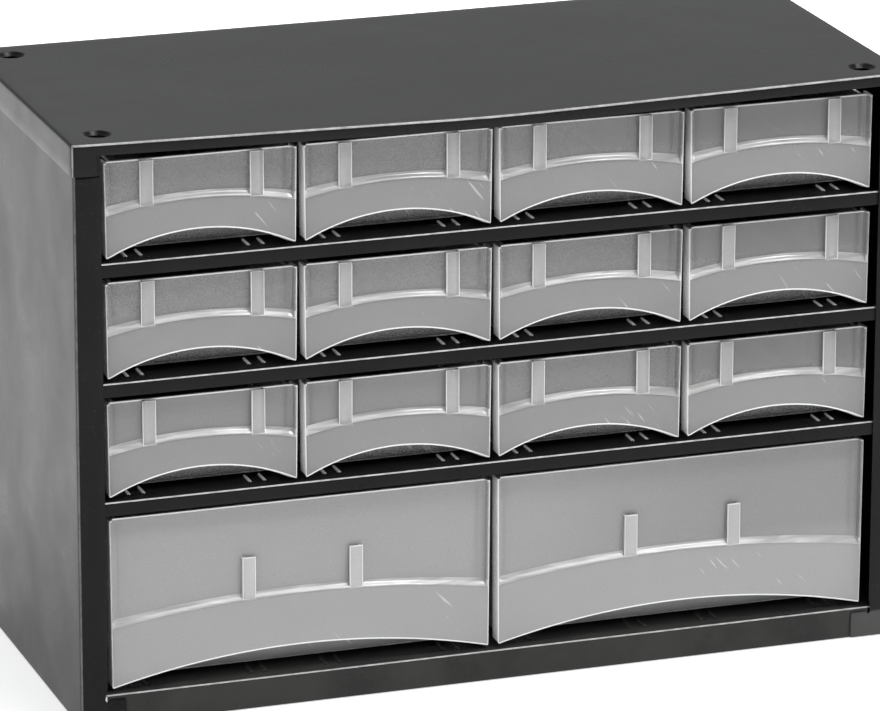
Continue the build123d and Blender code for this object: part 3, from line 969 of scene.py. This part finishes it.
def make_side(side, mat):
    """Skin, stile with its wider foot, back return and bottom return."""
    bm = bmesh.new()
    r, n = 1.1, 6
    z_levels = [0.0, 1.0, FOOT_H - 1.0, FOOT_H, 14.0]
    seam = CASE_H - LID_DROP
    z_levels += [14.0 + (seam - 1.2 - 14.0) * k / 24 for k in range(1, 25)]
    z_levels += [seam - 0.8, seam - 0.75, seam - 0.22, seam - 0.17]
    z_levels += [seam + 1.5, seam + 6.0, CASE_H - SHEET]
    plan = [(-PW + STILE_W, -PF)]
    plan += [(-PW + 6.0, -PF), (-PW + 2.2, -PF)]
    plan += [(x, y) for x, y in reversed(arc(-PW + r, -PF + r, r, 180, 270, n))]
    plan += [(-PW, -PF + 2.6)]
    plan += [(-PW, -PF + 2.6 + (2 * PF - 5.2) * k / 18) for k in range(1, 19)]
    plan += [(x, y) for x, y in reversed(arc(-PW + r, PF - r, r, 90, 180, n))]
    plan += [(-PW + STILE_W, PF)]
    # the stile is pressed in a little just below the lid's corner lap
    sunk = (seam - 0.75, seam - 0.22)
    cols = [
        [
            bm.verts.new((x, y + (0.5 if z in sunk and y < -PF + 0.01 else 0.0), z))
            for z in z_levels
        ]
        for x, y in plan
    ]
    grid_faces(bm, cols)
    # foot of the stile, with the small relief notch at its inner corner
    low, high = cols[0][0], cols[0][2]
    foot = [bm.verts.new((-PW + FOOT_W, -PF, 0.0))]
    foot += [bm.verts.new((-PW + FOOT_W, -PF, FOOT_H - 0.5))]
    foot += [bm.verts.new((-PW + FOOT_W - 0.5, -PF, FOOT_H))]
    foot += [bm.verts.new((-PW + STILE_W + 1.0, -PF, FOOT_H))]
    foot += [
        bm.verts.new((-PW + STILE_W + math.cos(t), -PF, FOOT_H + math.sin(t)))
        for t in (math.radians(-22), math.radians(-45), math.radians(-68))
    ]
    cols[0][1].co.z = 1.0
    bm.faces.new([low, *foot, high, cols[0][1]])
    # the notch bites into the stile's edge
    e = cols[0][3]
    e.co.x -= 0.9
    e.co.z = FOOT_H + 0.1
    # bottom return
    ring = [c[0] for c in cols]
    bm.faces.new(list(reversed(ring)))
    bmesh.ops.recalc_face_normals(bm, faces=bm.faces)
    skin = max(bm.faces, key=lambda f: abs(f.calc_center_median().x))
    if skin.normal.x > 0:
        bmesh.ops.reverse_faces(bm, faces=bm.faces)
    if side > 0:
        bmesh.ops.scale(bm, vec=(-1, 1, 1), verts=bm.verts)
        bmesh.ops.reverse_faces(bm, faces=bm.faces)

    # the front vertical bend gets the pale line: partly worn paint, partly a painted highlight
    def edge(co):
        x = abs(co.x)
        bend = PW - 0.6 * r < x < PW - 0.1 * r and abs(co.y) > PF - r
        return (1.0 if bend else 0.0), 0.0

    return sheet_object(
        "side_sheet_left" if side < 0 else "side_sheet_right", bm, mat, edge=edge
    )


def ridge_columns():
    """x positions across the floor with the height of the pressed ridges."""
    cols = {}
    for col in (-1.5, -0.5, 0.5, 1.5):
        for pair in RIDGE_AT:
            for e in (-1, 1):
                c = col * COL_PITCH + pair + e * RIDGE_GAP / 2
                for dx, h in (
                    (-1.0, 0.0), (-0.76, 0.06), (-0.54, 0.3), (-0.28, 0.52),
                    (0.0, 0.6), (0.28, 0.52), (0.54, 0.3), (0.76, 0.06), (1.0, 0.0),
                ):
                    cols[round(c + dx, 4)] = h
    return cols


def make_floor(name, mat, flange, half_x, back_flange, flange_half=None, y_back=None):
    """A floor with a front flange turned down, a back flange and pressed ridges,
    its upper face at height 0."""
    r, n = 0.85, 6
    cols = ridge_columns()
    for x in (-half_x, half_x):
        cols[x] = 0.0
    if flange_half is not None:
        for s in (-1, 1):
            cols[s * flange_half] = 0.0
    known = sorted(cols)
    for a, b in zip(known, known[1:]):
        if b - a > 12:
            k = int((b - a) // 9)
            for m in range(1, k + 1):
                cols[round(a + (b - a) * m / (k + 1), 4)] = 0.0
    xs = sorted(cols)
    y_back = INNER_Y - SHEET if y_back is None else y_back
    path = [(-INNER_Y, -flange, 0.0), (-INNER_Y, -flange * 0.5, 0.0)]
    path += [
        (y, z, 0.0)
        for y, z in reversed(arc(-INNER_Y + r, -r, r, 90, 180, n))
    ]
    start = -INNER_Y + 5.2
    path += [
        (start - 0.8, 0, 0.0), (start, 0, 0.0), (start + 0.3, 0, 0.45),
        (start + 0.7, 0, 0.85), (start + 1.2, 0, 1.0),
    ]
    end = y_back - 8.0
    path += [(start + 3.0, 0, 1.0), (start + 6.4, 0, 1.0), (start + 8.4, 0, 1.0)]
    for k in range(1, 12):
        path.append((start + 8.4 + (end - start - 8.4) * k / 12, 0, 1.0))
    path += [(end, 0, 1.0), (end + 0.6, 0, 0.5), (end + 1.1, 0, 0.0)]
    path += [
        (y, z, 0.0) for y, z in reversed(arc(y_back - r, -r, r, 0, 90, n))
    ]
    path += [(y_back, -back_flange, 0.0)]
    bm = bmesh.new()
    grid = [
        [bm.verts.new((x, y, z + cols[x] * w)) for y, z, w in path] for x in xs
    ]
    limit = flange_half if flange_half is not None else half_x

    def skip(i, j):
        mid = abs(xs[i] + xs[i + 1]) / 2
        y = (path[j][1] + path[j + 1][1]) / 2
        return mid > limit and y < -r * 0.3

    grid_faces(bm, grid, skip=skip)
    loose = [v for v in bm.verts if not v.link_faces]
    for v in loose:
        bm.verts.remove(v)
    bmesh.ops.recalc_face_normals(bm, faces=bm.faces)
    flat = max(
        (f for f in bm.faces if abs(f.normal.z) > 0.99), key=lambda f: f.calc_area()
    )
    if flat.normal.z < 0:
        bmesh.ops.reverse_faces(bm, faces=bm.faces)

    # the front bend gets the pale line and the ridges' front ends pale marks: partly worn paint, partly
    # a painted highlight
    def edge(co):
        bend = co.y < -INNER_Y + 0.6 * r and -0.6 * r < co.z < -0.05 * r
        rubbed_and_highlit = co.z > 0.25 and co.y < start + 7.0
        return (1.0 if bend else 0.0), (1.0 if rubbed_and_highlit else 0.0)

    return sheet_object(name, bm, mat, edge=edge)


def make_laps(name, mat, drop):
    """Side flanges of a shelf, turned down against the side panels."""
    bm = bmesh.new()
    for s in (-1, 1):
        a, b = sorted((s * (INNER_X - SHEET), s * INNER_X))
        solid_box(bm, a, b, -INNER_Y + 6, INNER_Y - 6, -drop, -0.3, 0.2, 2)
    me = mesh_from(bm, name)
    shade(me, 40)
    me.materials.append(mat)
    return place(name, me)


# -------------------------------------------------------------------- build
paint_top = paint("enamel_lid", 0.0065, 0.0, 1.0, line=0.5, ior=1.24)
paint_left = paint("enamel_left_side", 0.0055, 0.0, 1.6, line=0.2, ior=1.212)
# the right side's foot is painted lighter through low: a painted highlight
paint_right = paint("enamel_right_side", 0.0065, 0.0, 1.6, line=0.2, low=0.06, ior=1.225)
paint_shelf = paint("enamel_shelves", 0.0055, 1.0, 0.6, 0.95, line=0.75, ior=1.21)
paint_base = paint("enamel_base", 0.026, 0.2, 0.6, 0.2, line=0.6)

lid = make_lid(paint_top)
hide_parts("lid")
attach(lid, "case")

for side, label in ((-1, "left"), (1, "right")):
    ob = make_side(side, paint_left if side < 0 else paint_right)
    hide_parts("side_panel_" + label)
    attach(ob, "case")

for label, z in zip(("upper", "middle", "lower"), SHELF_TOP):
    ob = make_floor(
        "shelf_sheet_" + label, paint_shelf, 5.0, INNER_X, 5.0
    )
    ob.location.z = z * MM
    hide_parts("shelf_" + label)
    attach(ob, "case")
    laps = make_laps("shelf_laps_" + label, paint_shelf, 6.0)
    laps.location.z = z * MM
    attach(laps, "case")

base = make_floor(
    "base_sheet", paint_base, BASE_TOP, INNER_X, BASE_TOP,
    flange_half=PW - STILE_W - 0.2, y_back=INNER_Y,
)
base.location.z = BASE_TOP * MM
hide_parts("base_pan")
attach(base, "case")

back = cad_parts["back_panel"]
back.data.materials.clear()
back.data.materials.append(paint_left)

plastic_small = plastic("polypropylene_small", SMALL, 0.5, 0.37)
plastic_large = plastic("polypropylene_large", LARGE, 0.65, 0.42)
# rim slot: near-white copies of the plastic, partly the denser look of edge-on plastic and partly a
# painted highlight
rim_small = plastic("polypropylene_small_rims", SMALL, 0.9, 0.88)
rim_large = plastic("polypropylene_large_rims", LARGE, 0.9, 0.88)
# ledge slot: a lighter copy of the plastic, a painted highlight band along the ledge
ledge_small = ledge_plastic_painted_highlight("polypropylene_small_ledge", 0.85)
ledge_large = ledge_plastic_painted_highlight("polypropylene_large_ledge", 0.85)
small_mesh = drawer("small_drawer_moulding", SMALL, [plastic_small, rim_small, ledge_small])
large_mesh = drawer("large_drawer_moulding", LARGE, [plastic_large, rim_large, ledge_large])

for row, z in zip("abc", SHELF_TOP):
    for k in range(4):
        node = "small_drawer_" + row + str(k + 1)
        ob = place("bin_" + row + str(k + 1), small_mesh)
        ob.location = ((k - 1.5) * COL_PITCH * MM, FRONT_Y * MM, z * MM)
        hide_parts(node)
        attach(ob, node)
for label, s in (("left", -1), ("right", 1)):
    node = "large_drawer_" + label
    ob = place("bin_large_" + label, large_mesh)
    ob.location = (s * COL_PITCH * MM, FRONT_Y * MM, BASE_TOP * MM)
    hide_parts(node)
    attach(ob, node)

# -------------------------------------------------------------------- stage
bm = bmesh.new()
bmesh.ops.create_grid(bm, x_segments=1, y_segments=1, size=30.0)
me = bpy.data.meshes.new("floor")
bm.to_mesh(me)
bm.free()
floor = place("floor", me)
floor.location.z = -0.0005
mat, nt, out = node_material("floor_white")
N = Nodes(nt)
p = N.new("ShaderNodeBsdfPrincipled")
p.inputs["Base Color"].default_value = (0.86, 0.86, 0.86, 1)
p.inputs["Roughness"].default_value = 0.7
p.inputs["Specular IOR Level"].default_value = 0.2
p.inputs["Emission Color"].default_value = (1, 1, 1, 1)
p.inputs["Emission Strength"].default_value = 0.65
N.link(p.outputs[0], out.inputs["Surface"])
me.materials.append(mat)

world = bpy.data.worlds.new("studio")
scene.world = world
world.use_nodes = True
W = Nodes(world.node_tree)
way = W.new("ShaderNodeTexCoord").outputs["Generated"]
apart = W.new("ShaderNodeSeparateXYZ")
W.link(way, apart.inputs[0])
sky = W.mix(
    W.ramp(apart.outputs[1], -0.9, 0.9),
    (0.34, 0.345, 0.35, 1), (0.70, 0.71, 0.72, 1),
)
background = world.node_tree.nodes["Background"]
W.link(sky, background.inputs[0])
background.inputs[1].default_value = 0.75


def softbox(name, location, target, size_x, size_y, watts):
    data = bpy.data.lights.new(name, "AREA")
    data.shape = "RECTANGLE"
    data.size, data.size_y = size_x, size_y
    data.energy = watts
    ob = bpy.data.objects.new(name, data)
    scene.collection.objects.link(ob)
    ob.location = location
    ob.rotation_mode = "QUATERNION"
    ob.rotation_quaternion = (Vector(target) - Vector(location)).to_track_quat(
        "-Z", "Y"
    )
    ob.visible_camera = False
    return ob


softbox("light_key", (1.85, -2.05, 4.15), (0, 0, 0.1), 0.5, 0.5, 65)
softbox("light_overhead", (0.55, -0.32, 2.0), (0.05, -0.08, 0.1), 1.3, 1.0, 34)
softbox("light_backdrop", (0.3, 1.5, 1.6), (0.3, 1.2, 0), 1.6, 0.8, 12)
